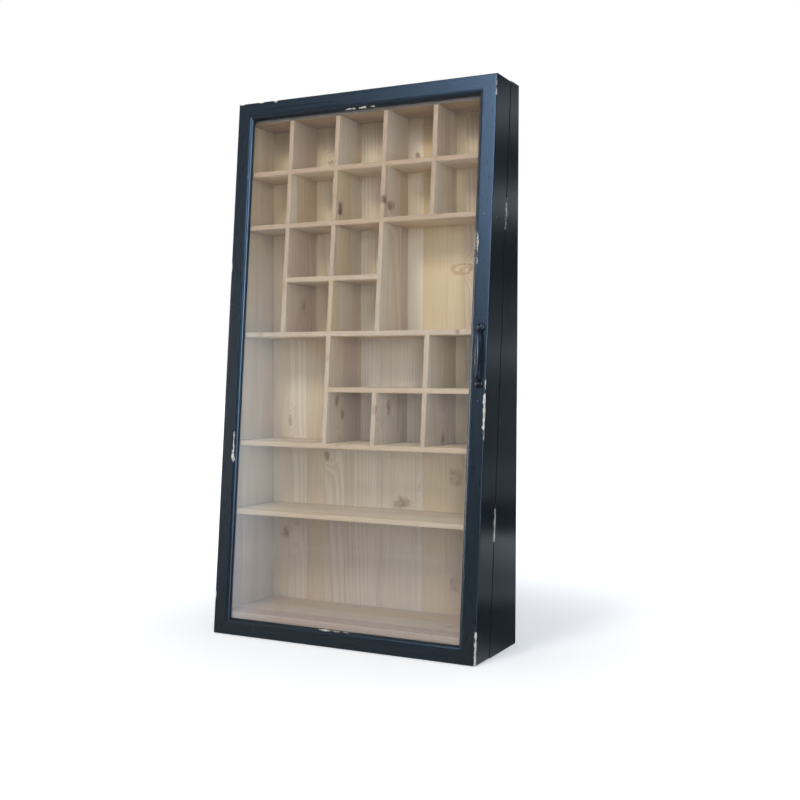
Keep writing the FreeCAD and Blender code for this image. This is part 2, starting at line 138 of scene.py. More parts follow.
class Finish:
    """A material with short calls for its nodes."""

    def __init__(self, name):
        self.material = bpy.data.materials.new(name)
        self.material.use_nodes = True
        self.tree = self.material.node_tree
        self.tree.nodes.clear()
        self.place = self.add("TexCoord").outputs["Object"]

    def add(self, kind, inputs=None, **settings):
        return grow(self.tree, "ShaderNode" + kind, inputs, **settings)

    def axes(self):
        """The place of a point as three sockets."""
        return self.add("SeparateXYZ", {0: self.place}).outputs

    def math(self, operation, a, b=0.0, c=0.0):
        return self.add("Math", {0: a, 1: b, 2: c}, operation=operation).outputs[0]

    def span(self, value, low, high, start=0.0, end=1.0):
        """Carries low..high over to start..end, softly and without overshoot."""
        inputs = {"Value": value, "From Min": low, "From Max": high, "To Min": start, "To Max": end}
        return self.add("MapRange", inputs, interpolation_type="SMOOTHSTEP").outputs["Result"]

    def mix(self, factor, a, b, how="MIX"):
        inputs = {0: factor, 6: a, 7: b}
        return self.add("Mix", inputs, data_type="RGBA", blend_type=how).outputs[2]

    def stretched(self, scale):
        inputs = {"Vector": self.place, "Scale": scale}
        return self.add("Mapping", inputs).outputs["Vector"]

    def noise(self, place, scale, detail=2.0, roughness=0.5):
        inputs = {"Vector": place, "Scale": scale, "Detail": detail, "Roughness": roughness}
        return self.add("TexNoise", inputs).outputs["Fac"]

    def attribute(self, name):
        return self.add("Attribute", attribute_name=name).outputs["Fac"]

    def bump(self, height, distance, strength=1.0):
        inputs = {"Height": height, "Distance": distance, "Strength": strength}
        return self.add("Bump", inputs).outputs["Normal"]

    def surface(self, shader):
        self.add("OutputMaterial", {"Surface": shader.outputs[0]})
        return self.material


print("finishes are trees of nodes made by", Finish.__name__)

# %% [markdown]
# ## Old blue-grey paint
# The outside was brushed with a dark blue-grey satin paint and then knocked about: along some edges it
# is gone, and pale primer and wood show. A picture of scratches would fit one view only. Instead each
# piece carries a vertex value called wear, and the finish breaks it up with noise, so a chip has a
# ragged rim, a dark line round it and a little depth. Brush marks run along each piece, and the outer
# flanks, where nobody takes hold, have kept more of their gloss.

# %% Painted wood
PAINT_DARK = (0.0085, 0.0125, 0.0165, 1)
PAINT_LIGHT = (0.0155, 0.0225, 0.0300, 1)
CHIP_PALE = (0.68, 0.63, 0.55, 1)
CHIP_WOOD = (0.42, 0.32, 0.22, 1)
CHIP_RIM = (0.05, 0.042, 0.036, 1)
CHIP_ROUGH = (0.8, 0.8, 0.8, 1)
CHIP_LIMITS = (1.75, 1.80)
RIM_LIMITS = (1.68, 1.76)
CHIP_SCALE, CRUMB_SCALE, BARE_SCALE, MOTTLE_SCALE = 85.0, 420.0, 160.0, 9.0
SATIN, SATIN_SWING = 0.31, 0.22
FLANK_SATIN = (0.09, 0.17)
FLANK = (HALF - 0.5 * MM, HALF - 0.1 * MM)
BRUSH_FINE, BRUSH_LONG = 420, 7
BRUSH_RELIEF = 0.22
PAINT_THICK = 0.35 * MM


def painted_wood(name, brush):
    """Worn paint; brush holds the scales that draw the brush marks out along the piece."""
    f = Finish(name)
    flank = f.span(f.math("ABSOLUTE", f.axes()[X]), *FLANK)
    streaks = f.noise(f.stretched(brush), 1.0, 3.0)
    mottle = f.noise(f.place, MOTTLE_SCALE, 4.0)
    broad = f.math("MULTIPLY_ADD", f.noise(f.place, CHIP_SCALE, 2.0), 1.4, f.attribute("wear"))
    field = f.math("MULTIPLY_ADD", f.noise(f.place, CRUMB_SCALE, 3.0), 1.1, broad)
    chip = f.span(field, *CHIP_LIMITS)
    rim = f.span(field, *RIM_LIMITS)
    tone = f.math("MULTIPLY_ADD", mottle, 0.6, f.math("MULTIPLY", streaks, 0.4))
    paint = f.mix(tone, PAINT_DARK, PAINT_LIGHT)
    primer_gone = f.span(f.noise(f.place, BARE_SCALE, 3.0), 0.48, 0.72, 0.0, 0.8)
    bare = f.mix(primer_gone, CHIP_PALE, CHIP_WOOD)
    colour = f.mix(chip, f.mix(rim, paint, CHIP_RIM), bare)
    satin = f.math("MULTIPLY_ADD", f.math("SUBTRACT", streaks, 0.5), SATIN_SWING, SATIN)
    satin = f.mix(flank, satin, f.span(streaks, 0.2, 0.8, *FLANK_SATIN))
    roughness = f.mix(chip, satin, CHIP_ROUGH)
    height = f.math("MULTIPLY_ADD", chip, -1.0, f.math("MULTIPLY", streaks, BRUSH_RELIEF))
    shader = f.add("BsdfPrincipled", {"Base Color": colour, "Roughness": roughness,
                                      "Specular IOR Level": 0.5, "Normal": f.bump(height, PAINT_THICK)})
    return f.surface(shader)


paint_upright = painted_wood("paint_upright", (BRUSH_FINE, BRUSH_FINE, BRUSH_LONG))
paint_level = painted_wood("paint_level", (BRUSH_LONG, BRUSH_FINE, BRUSH_FINE))
print("paint finishes", paint_upright.name, paint_level.name)

# %% [markdown]
# ## Lofting worn boards
# A straight moulding is one outline carried along a line, which a loft makes: rings of points joined
# by quads. Close rings let us press small nicks into the edges and give every point its wear. The
# shading is smooth over the bead and the eased edges, and sharp only where faces really meet.

# %% Lofts
SHARP_ANGLE = math.radians(38)
RING_STEP = 3.5 * MM
RUB_STEEPNESS = 2.5


def add_piece(name, bm, finish, body, slot, nodes):
    """Turns a bmesh into a piece that stands for the given CAD nodes and rides on their body."""
    mesh = bpy.data.meshes.new(name)
    bm.to_mesh(mesh)
    bm.free()
    mesh.shade_smooth()
    mesh.set_sharp_from_angle(angle=SHARP_ANGLE)
    mesh.materials.append(finish)
    piece = bpy.data.objects.new(name, mesh)
    bpy.context.collection.objects.link(piece)
    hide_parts(*nodes)
    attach(piece, body)
    return piece


def loft(bm, ring_at, length):
    """Joins the rings that ring_at(share) gives as (point, wear) pairs, and closes both ends."""
    wear = bm.verts.layers.float.get("wear") or bm.verts.layers.float.new("wear")
    rings = []
    count = round(length / RING_STEP)
    for k in range(count + 1):
        ring = []
        for point, worn in ring_at(k / count):
            vert = bm.verts.new(point)
            vert[wear] = worn
            ring.append(vert)
        rings.append(ring)
    faces = [bm.faces.new(rings[0]), bm.faces.new(rings[-1])]
    for a, b in zip(rings, rings[1:]):
        faces += [bm.faces.new((a[i - 1], a[i], b[i], b[i - 1])) for i in range(len(a))]
    bmesh.ops.recalc_face_normals(bm, faces=faces)


def rubbed(spots, along):
    """How far the paint is rubbed through at a place along an edge, from 0 to 1."""
    worn = 0.0
    for centre, reach, strength in spots:
        inside = 1 - abs(along / MM - centre) / reach
        worn = max(worn, strength * min(1.0, max(0.0, inside * RUB_STEEPNESS)))
    return worn


print("rings are", RING_STEP / MM, "mm apart")

# %% [markdown]
# ## The door frame
# The frame is the piece that takes most skill: a flat face with a rounded outer edge, a small step and
# a bulging bead that falls to the glass, mitred at the corners, on deep returns that are butted. The
# stiles and rails share one outline of (u, n) points, where u runs inwards from the outer edge. The flat
# has more points than it needs for its shape, so that wear can fade along it.

# %% Door frame moulding
EDGE_ROUND, EDGE_STEPS = 1.5 * MM, 5
FLAT_WIDTH = 25 * MM
FLAT_SHARES = (0.11, 0.17, 0.26, 0.5, 0.8, 0.92, 0.985)
BEAD_WIDTH, BEAD_DEPTH, BEAD_STEP, BEAD_BULGE = 8 * MM, 7 * MM, 1.2 * MM, 1.7 * MM
BEAD_STEPS = 10
QUIRK = 0.4 * MM
LIP_THICK, SHOULDER, RETURN_THICK = 8 * MM, 10 * MM, 12 * MM
GLASS_OVERLAP = 13 * MM
DOOR_DEPTH = 62.5 * MM
DOOR_TRIM = 3 * MM
MITRE_HAIR = 0.06 * MM
SIGHT = FLAT_WIDTH + BEAD_WIDTH
MOULD_LOW = V_LOW - DOOR_TRIM


def moulding_outline():
    """Points (u, n) of the front of the frame, from the outer edge over the bead to the glass rebate."""
    points = []
    for k in range(EDGE_STEPS + 1):
        angle = math.radians(90 * k / EDGE_STEPS)
        points.append((EDGE_ROUND * (1 - math.cos(angle)), EDGE_ROUND * (1 - math.sin(angle))))
    points += [(FLAT_WIDTH * share, 0.0) for share in FLAT_SHARES]
    points.append((FLAT_WIDTH, QUIRK))
    chord = Vector((BEAD_WIDTH, BEAD_DEPTH - BEAD_STEP))
    outward = Vector((chord.y, -chord.x)).normalized() * BEAD_BULGE
    for k in range(BEAD_STEPS + 1):
        t = k / BEAD_STEPS
        bead = Vector((FLAT_WIDTH, BEAD_STEP)) + chord * t + outward * (4 * t * (1 - t))
        points.append((bead.x, bead.y))
    rebate = SIGHT - GLASS_OVERLAP
    points += [(SIGHT, LIP_THICK), (rebate, LIP_THICK), (rebate, SHOULDER), (0.0, SHOULDER)]
    return points + [(0.0, SHOULDER * 0.6), (0.0, SHOULDER * 0.32)]


moulding = moulding_outline()
print("moulding outline has", len(moulding), "points, sight edge at", SIGHT / MM, "mm")

# %% [markdown]
# Knocks fall on edges, so each edge of the outline is listed with its place, how far round it a knock
# reaches, and the way in which the wood gives. A knock presses the nearest points in by a little, more
# or less as noise decides, and hands them their wear.

# %% Knocked edges
EDGES = {"outer": (Vector((0, 0)), 6 * MM, Vector((0.7, 0.7))),
         "arris": (Vector((0.4 * MM, 0.4 * MM)), 2.2 * MM, Vector((0.7, 0.7))),
         "step": (Vector((FLAT_WIDTH, 0)), 4 * MM, Vector((-0.3, 0.8))),
         "inner": (Vector((SIGHT - 1.5 * MM, BEAD_DEPTH - 2.5 * MM)), 3.6 * MM, Vector((-0.8, 0.4))),
         "rear": (Vector((0, DOOR_DEPTH)), 5 * MM, Vector((0.8, -0.5)))}
NICK_DEPTH = 0.9 * MM
NICK_ALONG, NICK_ACROSS, NICK_LAYER = 170, 900, 3.7


def knock(u, n, along, spots):
    """Presses a point of the outline in where its edge is worn; gives (u, n) and the wear there."""
    worn = 0.0
    place = Vector((u, n))
    for edge, (line, reach, inwards) in EDGES.items():
        near = max(0.0, 1 - (Vector((u, n)) - line).length / reach)
        here = near * rubbed(spots.get(edge, ()), along)
        depth = 0.5 + 0.5 * noise.noise(Vector((along * NICK_ALONG, line.x * NICK_ACROSS, NICK_LAYER)))
        place += inwards * (here * here * depth * NICK_DEPTH)
        worn = max(worn, here)
    return place.x, place.y, worn


print("edges that can be knocked", ", ".join(EDGES))

# %% [markdown]
# Each stile runs from mitre to mitre and each rail between the mitres, with a hair of air left in the
# joint so that its line shows. The foot of the finished door was planed level, so points below the
# plane of the foot are held at it. The returns behind the face are plain boards, closed on their own.
# Places where the real frame was knocked are listed per edge as middle, reach and strength, the first
# two in millimetres: up the slope for a stile, and to the right of the middle for a rail.

# %% Stiles and rails
WEAR = {
    "left": {"step": [(362, 20, 0.85), (334, 17, 0.8)],
             "outer": [(688, 11, 0.85), (71, 11, 0.85)]},
    "right": {"outer": [(440, 22, 1.0), (405, 38, 0.8), (40, 22, 0.9), (14, 20, 0.7)],
              "arris": [(472, 16, 0.6), (980, 22, 0.75)],
              "step": [(701, 38, 0.8)],
              "inner": [(701, 38, 0.8)],
              "rear": [(773, 44, 0.6), (232, 44, 0.6)]},
    "top": {"inner": [(-24, 15, 0.66), (3, 12, 0.62), (23, 9, 0.62)],
            "outer": [(-257, 8, 0.9), (-214, 8, 0.8), (-184, 8, 0.8)]},
    "bottom": {"inner": [(-30, 13, 0.84), (-7, 15, 0.9), (17, 12, 0.86)]}}
REAR_EASE = 0.3 * MM
REAR_TURN = 4 * MM
RETURN_OUTLINE = [(0, SHOULDER)]
RETURN_OUTLINE += [(0, share * DOOR_DEPTH) for share in (0.55, 0.91, 0.95, 0.985)]
RETURN_OUTLINE += [(0, DOOR_DEPTH - REAR_EASE), (REAR_EASE, DOOR_DEPTH), (REAR_TURN, DOOR_DEPTH)]
RETURN_OUTLINE += [(RETURN_THICK, DOOR_DEPTH), (RETURN_THICK, SHOULDER)]


def stile(side, spots):
    """Front and return of one upright of the door; side is -1 at the hinges and 1 at the handle."""
    bm = bmesh.new()

    def upright_ring(outline, low, high):
        def ring_at(share):
            for u, n in outline:
                v = low(u, n) + share * (high(u, n) - low(u, n))
                u, n, worn = knock(u, n, v, spots)
                yield door_point(side * (HALF - u), n, v), worn
        return ring_at

    def mitre_low(u, n):
        return max(MOULD_LOW + u, v_at(n, DOOR_LOW)) + MITRE_HAIR

    def mitre_high(u, n):
        return min(V_HIGH - u, v_at(n, DOOR_HIGH)) - MITRE_HAIR

    def butt_low(u, n):
        return v_at(n, DOOR_LOW)

    def butt_high(u, n):
        return v_at(n, DOOR_HIGH)

    loft(bm, upright_ring(moulding, mitre_low, mitre_high), V_HIGH)
    loft(bm, upright_ring(RETURN_OUTLINE, butt_low, butt_high), V_HIGH)
    return bm


def rail(way, spots):
    """Front and return of one level piece of the door; way is 1 at the foot and -1 at the top."""
    bm = bmesh.new()

    def front_ring(share):
        for u, n in moulding:
            if way > 0:
                v = max(MOULD_LOW + u, v_at(n, DOOR_LOW))
                end = HALF - max(u, v - MOULD_LOW) - MITRE_HAIR
            else:
                v = V_HIGH - u + (n * LEAN if u < EDGE_ROUND else 0)
                end = HALF - u - MITRE_HAIR
            x = end * (2 * share - 1)
            moved_u, moved_n, worn = knock(u, n, x, spots)
            yield door_point(x, moved_n, v + way * (moved_u - u)), worn

    def return_ring(share):
        edge = DOOR_LOW if way > 0 else DOOR_HIGH
        for u, n in RETURN_OUTLINE:
            x = (HALF - RETURN_THICK) * (2 * share - 1)
            yield door_point(x, n, v_at(n, edge + way * u)), 0.0

    loft(bm, front_ring, 2 * HALF)
    loft(bm, return_ring, 2 * HALF)
    return bm


for name, side in (("left", -1), ("right", 1)):
    upright = stile(side, WEAR[name])
    add_piece(name + "_stile", upright, paint_upright, "door", "painted_wood", ["door_stile_" + name])
for name, way in (("bottom", 1), ("top", -1)):
    level = rail(way, WEAR[name])
    add_piece(name + "_rail", level, paint_level, "door", "painted_wood", ["door_rail_" + name])
print("door frame made of 2 stiles and 2 rails")

# %% [markdown]
# ## The case
# Two tapered sides stand behind the door, with a top and a bottom between them. The right side shows
# the same rubbed spots along the seam with the door. Its outline at each height runs from the sloping
# front edge to the wall, so it is a loft too. The top and the bottom are copies of the CAD boards with
# their edges eased by a bevel, because real timber never has a razor edge.

# %% Case sides
SIDE_THICK = 13.5 * MM
CASE_DEPTH = 65.5 * MM
SIDE_EASE = 0.3 * MM
SIDE_WEAR = {-1: [], 1: [(773, 44, 0.62), (232, 44, 0.66), (640, 8, 0.5)]}
SEAM_EDGE = ((0, 12 * MM, 0), (0, 4 * MM, 0.35), (0, SIDE_EASE, 1),
             (SIDE_EASE, 0, 1), (4 * MM, 0, 0.3), (SIDE_THICK, 0, 0))
WALL_EDGE = ((SIDE_THICK, 0), (SIDE_EASE, 0), (0, SIDE_EASE))


def case_side(side):
    """A tapered side; its edges are points of inset and step, with a share of the wear at the seam."""
    bm = bmesh.new()

    def ring_at(share):
        z = HEIGHT * share
        front = door_point(0, CASE_DEPTH, v_at(CASE_DEPTH, z)).y
        worn = rubbed(SIDE_WEAR[side], v_at(CASE_DEPTH, z))
        for inset, step, weight in SEAM_EDGE:
            yield Vector((side * (HALF - inset), front + step, z)), worn * weight
        for inset, step in WALL_EDGE:
            yield Vector((side * (HALF - inset), WALL_Y - step, z)), 0.0

    loft(bm, ring_at, HEIGHT)
    return bm


add_piece("left_side", case_side(-1), paint_upright, "case", "painted_wood", ["case_side_left"])
add_piece("right_side", case_side(1), paint_upright, "case", "painted_wood", ["case_side_right"])
print("case sides", SIDE_THICK / MM, "mm thick")

# %% Eased copies of CAD boards
MERGE_REACH = 0.002 * MM
FLAT_ANGLE = math.radians(1)
CASE_EASE = 0.8 * MM


def eased_copy(node, ease):
    """A merged copy of a CAD node's mesh, with its sharp edges rounded over by ease."""
    bm = bmesh.new()
    bm.from_mesh(frame["nodes"][node].data)
    bmesh.ops.remove_doubles(bm, verts=bm.verts, dist=MERGE_REACH)
    if ease:
        bmesh.ops.dissolve_limit(bm, angle_limit=FLAT_ANGLE, verts=bm.verts, edges=bm.edges)
        sharp = [e for e in bm.edges if e.is_manifold and e.calc_face_angle() > SHARP_ANGLE]
        bmesh.ops.bevel(bm, geom=sharp, offset=ease, segments=2, profile=0.5, affect="EDGES",
                        clamp_overlap=True)
    return bm


for node in ("case_top", "case_bottom"):
    add_piece(node + "_board", eased_copy(node, CASE_EASE), paint_level, "case", "painted_wood", [node])
print("case top and bottom eased by", CASE_EASE / MM, "mm")

# %% [markdown]
# ## Bare pine
# The compartments are knotty pine, edge-glued from narrow staves that differ a little in tone. A wood
# picture would stretch and repeat; here the figure is worked out. We start with one knot as a node group
# of its own: it pushes the growth rings aside, darkens its middle, and has a rim that resin can stain.

# %% One knot
SWIRL_FALL = 0.45
CORE_FADE = (1.3, 0.35)
RIM_FADE = (0.34, 0.06)


def knot_group():
    """How a knot pushes the rings aside (Swirl), its dark middle (Core) and its rim (Ring)."""
    tree = bpy.data.node_groups.new("pine_knot", "ShaderNodeTree")
    for name in ("Place", "Centre", "Size"):
        tree.interface.new_socket(name, in_out="INPUT", socket_type="NodeSocketVector")
    for name in ("Swirl", "Core", "Ring"):
        tree.interface.new_socket(name, in_out="OUTPUT", socket_type="NodeSocketFloat")

    def step(operation, a, b=0.0):
        return grow(tree, "ShaderNodeMath", {0: a, 1: b}, operation=operation).outputs[0]

    def vector_step(operation, a, b):
        return grow(tree, "ShaderNodeVectorMath", {0: a, 1: b}, operation=operation).outputs["Vector"]

    given = grow(tree, "NodeGroupInput").outputs
    shrunk = vector_step("DIVIDE", vector_step("SUBTRACT", given["Place"], given["Centre"]), given["Size"])
    ratio = grow(tree, "ShaderNodeVectorMath", {0: shrunk}, operation="LENGTH").outputs["Value"]
    fall = step("POWER", step("MULTIPLY", ratio, SWIRL_FALL), 2.0)
    result = grow(tree, "NodeGroupOutput", {"Swirl": step("POWER", math.exp(-1), fall)})
    from_rim = step("ABSOLUTE", step("SUBTRACT", ratio, 1.0))
    for name, value, (outside, inside) in (("Core", ratio, CORE_FADE), ("Ring", from_rim, RIM_FADE)):
        fade = grow(tree, "ShaderNodeMapRange", {"Value": value, "From Min": outside, "From Max": inside},
                    interpolation_type="SMOOTHSTEP")
        tree.links.new(fade.outputs["Result"], result.inputs[name])
    return tree


pine_knot = knot_group()
print("knot group with", len(pine_knot.nodes), "nodes")

# %% [markdown]
# The real knots are listed in millimetres: the middle, the reach across and along the board's
# face, and how dark the knot is. Knots of the back boards all lie in one plane, so theirs need no depth.
# A negative darkness stands for a ring of old resin instead of a dark middle.

# %% Knots of this cabinet
BACK_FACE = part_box("back_board_1")[0].y / MM
BACK_KNOTS = [(-115, 892, 8, 6, 0.7), (71, 888, 8, 6, 0.65), (-216, 169, 12, 13, 0.6),
              (-120, 326, 8, 11, 0.5), (43, 243, 24, 13, 0.48), (153, 295, 15, 20, 0.5),
              (151, 98, 14, 18, 0.46), (162, 678, 19, 9, -0.6), (168, 675, 10, 4, -0.5),
              (-205, 392, 4, 14, 0.4)]
UPRIGHT_KNOTS = [(-46.9, -32.7, 788, 10, 15, 0.95), (51.9, -24, 789, 20, 11, 0.6),
                 (47.4, -47.8, 798, 9, 10, 0.95), (-145.7, -0.8, 612, 10, 16, 0.45),
                 (-46.9, -45, 436, 8, 13, 0.5), (-46.9, -24, 412, 8, 15, 0.55),
                 (51.9, -28, 424, 12, 18, 0.45), (150.7, -9.5, 368, 9, 14, 0.6),
                 (50, -79.4, 422, 7, 8, 0.7)]
LEVEL_KNOTS = [(181, -43, 42, 10, 6, 0.7), (-201, -67.5, 563, 8, 6, 0.6),
               (202, -67.8, 560, 8, 6, 0.7), (-20, -80, 355, 8, 6, 0.5)]
KNOT_THROUGH = 14 * MM
KNOT_FRAY, FRAY_SCALE = 15 * MM, 95.0


def knot_marks(f, along, across, knots):
    """All knots of a finish: the push on the rings, the dark middles and the stains of resin."""
    frayed = f.add("TexNoise", {"Vector": f.place, "Scale": FRAY_SCALE, "Detail": 3.0}).outputs
    strayed = f.add("VectorMath", {0: frayed["Color"], 1: (0.5, 0.5, 0.5)}, operation="SUBTRACT")
    ragged = f.add("VectorMath", {0: strayed.outputs[0], 1: (KNOT_FRAY,) * 3, 2: f.place},
                   operation="MULTIPLY_ADD").outputs[0]
    swirl, core, resin = 0.0, 0.0, 0.0
    for *centre, wide, tall, dark in knots:
        size = [KNOT_THROUGH] * 3
        size[across if along == Z else along] = wide * MM
        size[along if along == Z else across] = tall * MM
        inputs = {"Place": ragged, "Centre": [c * MM for c in centre], "Size": size}
        knot = f.add("Group", inputs, node_tree=pine_knot).outputs
        swirl = f.math("ADD", swirl, knot["Swirl"])
        if dark > 0:
            core = f.math("MAXIMUM", core, f.math("MULTIPLY", knot["Core"], dark))
        else:
            resin = f.math("MAXIMUM", resin, f.math("MULTIPLY", knot["Ring"], -dark))
    core = f.math("MULTIPLY", core, f.span(frayed["Fac"], 0.3, 0.68, 0.55, 1.2))
    return swirl, core, resin


print("knots", len(BACK_KNOTS) + len(UPRIGHT_KNOTS) + len(LEVEL_KNOTS))

# %% [markdown]
# Every stave gets two chance numbers of its own. The growth rings are circles round a heart that lies
# beside the stave, at a distance that the first number gives; a slow noise sways them, and the second
# number lets them drift along the board, as they do where a plank isn't cut quite along the trunk.

# %% Staves and growth rings
STAVE = 52 * MM
RING_WIDTH = 4.6 * MM
RING_SWAY = 22 * MM
RING_DRIFT = 0.05
HEART_BEHIND, HEART_ASIDE = 14 * MM, 2.4
KNOT_PUSH = 14 * MM
BOARD_RUN, BOARD_SIDE, BOARD_SEED = 5.3, 0.71, 37.0
SWAY_RUN, SWAY_SIDE = 2.2, 14.0


def staves(f, along, across):
    """The run of the grain, the place across the board and in its stave, and two chance numbers."""
    axes = f.axes()
    board = f.attribute("board")
    run = f.math("MULTIPLY_ADD", board, BOARD_RUN, axes[along])
    side = f.math("MULTIPLY_ADD", board, BOARD_SIDE, axes[across])
    count = f.math("DIVIDE", side, STAVE)
    number = f.math("FLOOR", count)
    inside = f.math("SUBTRACT", count, f.math("ADD", number, 0.5))
    seed = f.math("MULTIPLY_ADD", board, BOARD_SEED, number)
    chances = f.add("TexWhiteNoise", {"W": seed}, noise_dimensions="1D").outputs
    other = f.add("SeparateColor", {0: chances["Color"]}).outputs[1]
    return run, side, inside, chances["Value"], other


def late_wood(f, stave, through, swirl):
    """The dark part of the growth rings, from 0 to 1."""
    run, side, inside, chance, other = stave
    flow = f.add("CombineXYZ", {X: f.math("MULTIPLY", run, SWAY_RUN),
                                Y: f.math("MULTIPLY", side, SWAY_SIDE), Z: chance}).outputs[0]
    sway = f.noise(flow, 1.0, 2.0)
    heart = f.math("MULTIPLY", f.math("SUBTRACT", chance, 0.5), HEART_ASIDE)
    aside = f.math("MULTIPLY", f.math("SUBTRACT", inside, heart), STAVE)
    aside = f.math("MULTIPLY_ADD", f.math("SUBTRACT", sway, 0.5), RING_SWAY, aside)
    drift = f.math("MULTIPLY", run, RING_DRIFT)
    depth = f.math("MULTIPLY_ADD", f.math("SUBTRACT", other, 0.5), drift, f.axes()[through])
    depth = f.math("ADD", depth, HEART_BEHIND)
    squares = f.math("MULTIPLY_ADD", aside, aside, f.math("MULTIPLY", depth, depth))
    ring = f.math("ADD", f.math("SQRT", squares), f.math("MULTIPLY", swirl, KNOT_PUSH))
    phase = f.math("FRACT", f.math("DIVIDE", ring, RING_WIDTH))
    return f.math("MULTIPLY", f.span(phase, 0.25, 0.86), f.span(phase, 1.0, 0.9))


print("staves", STAVE / MM, "mm wide, rings", RING_WIDTH / MM, "mm")

# %% [markdown]
# The colour is built up in the order in which it came about: pale, yellow or pinkish staves, late wood
# and fibres, then the years. Wood near the top has yellowed, and a painted shade darkens it just under the
# top, the uprights least; the front edges get a browner tone with painted shade that grows towards the
# top, and the strip above the top row is nearly black with the painted shadow of the top rail. Glue lines,
# a painted shade over the whole lowest space, resin and knots come last.

# %% Ageing of the pine, with painted shade
PINE_AGED = (1.0, 0.96, 0.86, 1)
# painted shade: darkens the wood just under the top, where the top rail shades the top row
PINE_TOP_SHADE = (0.52, 0.42, 0.31, 1)
# browner tone of the front edges together with painted shade that grows towards the top
PINE_EDGE_TONE_AND_SHADE = (0.44, 0.29, 0.175, 1)
# painted shadow: the near-black colour of the strip above the top row stands in for the top rail's shadow
PINE_RAIL_SHADOW = (0.075, 0.05, 0.03, 1)
AGED_HEIGHTS = (0.45, 0.80)
TOP_SHADE_HEIGHTS = (0.885, 0.958)
EDGE_HEIGHTS, EDGE_SHARES = (0.50, 0.88), (0.55, 1.0)
RAIL_SHADOW_HEIGHTS = (0.957, 0.960)
TRAY_SETBACK = 12 * MM
TRAY_FRONT = door_point(0, TRAY_SETBACK, 0).dot(INTO_DOOR)
FRONT_SKIN = (1.2 * MM, 0.3 * MM)


def with_age_and_shade(f, wood, height, age_and_shade):
    """Yellows the wood towards the top by the share age_and_shade, with painted shade under the top;
    gives the front edges a browner tone with painted shade, and paints the top rail's shadow on the top
    strip.
    """
    wood = f.mix(f.span(height, *AGED_HEIGHTS, 0.0, age_and_shade), wood, PINE_AGED, "MULTIPLY")
    # painted shade under the top of the case
    wood = f.mix(f.span(height, *TOP_SHADE_HEIGHTS, 0.0, age_and_shade), wood, PINE_TOP_SHADE, "MULTIPLY")
    inward = f.add("VectorMath", {0: f.place, 1: INTO_DOOR}, operation="DOT_PRODUCT").outputs["Value"]
    front = f.span(f.math("SUBTRACT", inward, TRAY_FRONT), *FRONT_SKIN)
    # front edges: a browner tone and painted shade, stronger towards the top
    edge_tone_and_shade = f.math("MULTIPLY", front, f.span(height, *EDGE_HEIGHTS, *EDGE_SHARES))
    wood = f.mix(edge_tone_and_shade, wood, PINE_EDGE_TONE_AND_SHADE)
    # paints the shadow of the door's top rail on the front strip of the tray's top board
    return f.mix(f.math("MULTIPLY", front, f.span(height, *RAIL_SHADOW_HEIGHTS)), wood, PINE_RAIL_SHADOW)


print("tray front lies", round(TRAY_SETBACK / MM, 1), "mm behind the door's face")

# %% Pine finish
PINE_PALE = (0.72, 0.60, 0.45, 1)
PINE_YELLOW = (0.66, 0.50, 0.29, 1)
PINE_PINK = (0.57, 0.415, 0.31, 1)
PINE_LATE = (0.40, 0.25, 0.13, 1)
PINE_RESIN = (0.42, 0.20, 0.06, 1)
# painted shade, slightly pinkish: dims the whole lowest space, which the shelf above shades
PINE_LOW_SHADE = (0.80, 0.74, 0.71, 1)
KNOT_DARK = (0.11, 0.055, 0.03, 1)
KNOT_HALO = (0.36, 0.21, 0.12, 1)
LATE_SHARES, FIBRE_SHARE, GLUE_SHARE, HALO_SHARE = (0.10, 0.34), 0.34, 0.45, 0.8
FIBRE_FINE, FIBRE_LONG, CLOUD_SCALE = 520, 9, 11.0
GLUE_LINE = (0.485, 0.5)
LOWEST_SPACE = (0.2245, 0.2215)
PINE_RELIEF = 0.12 * MM


def pine(name, along, across, through, knots, age_and_shade=1.0):
    """Pine whose grain runs along one axis, with staves side by side on another."""
    f = Finish(name)
    axes = f.axes()
    stave = staves(f, along, across)
    _, _, inside, chance, other = stave
    swirl, core, resin = knot_marks(f, along, across, knots)
    late = late_wood(f, stave, through, swirl)
    scales = [FIBRE_FINE] * 3
    scales[along] = FIBRE_LONG
    fibre = f.noise(f.stretched(scales), 1.0, 3.0, 0.6)
    cloud = f.noise(f.place, CLOUD_SCALE, 3.0)
    hue = f.mix(f.span(other, 0.25, 0.75), PINE_YELLOW, PINE_PINK)
    tone = f.math("MULTIPLY_ADD", f.math("SUBTRACT", cloud, 0.5), 0.7, f.span(chance, 0.1, 0.9))
    wood = f.mix(tone, PINE_PALE, hue)
    wood = f.mix(f.math("MULTIPLY", late, f.span(other, 0.0, 1.0, *LATE_SHARES)), wood, PINE_LATE)
    wood = f.mix(f.span(fibre, 0.5, 0.78, 0.0, FIBRE_SHARE), wood, PINE_LATE)
    wood = with_age_and_shade(f, wood, axes[Z], age_and_shade)
    glue = f.span(f.math("ABSOLUTE", inside), *GLUE_LINE, 0.0, GLUE_SHARE)
    wood = f.mix(glue, wood, KNOT_HALO)
    # painted shade over the lowest space
    wood = f.mix(f.span(axes[Z], *LOWEST_SPACE), wood, PINE_LOW_SHADE, "MULTIPLY")
    wood = f.mix(resin, wood, PINE_RESIN)
    halo = f.mix(f.span(core, 0.0, 0.55, 0.0, HALO_SHARE), wood, KNOT_HALO)
    wood = f.mix(f.span(core, 0.35, 1.0), halo, KNOT_DARK)
    relief = f.math("MULTIPLY_ADD", late, 0.5, fibre)
    roughness = f.span(fibre, 0.2, 0.8, 0.5, 0.68)
    shader = f.add("BsdfPrincipled", {"Base Color": wood, "Roughness": roughness, "Specular IOR Level": 0.3,
                                      "Normal": f.bump(relief, PINE_RELIEF, 0.6)})
    return f.surface(shader)


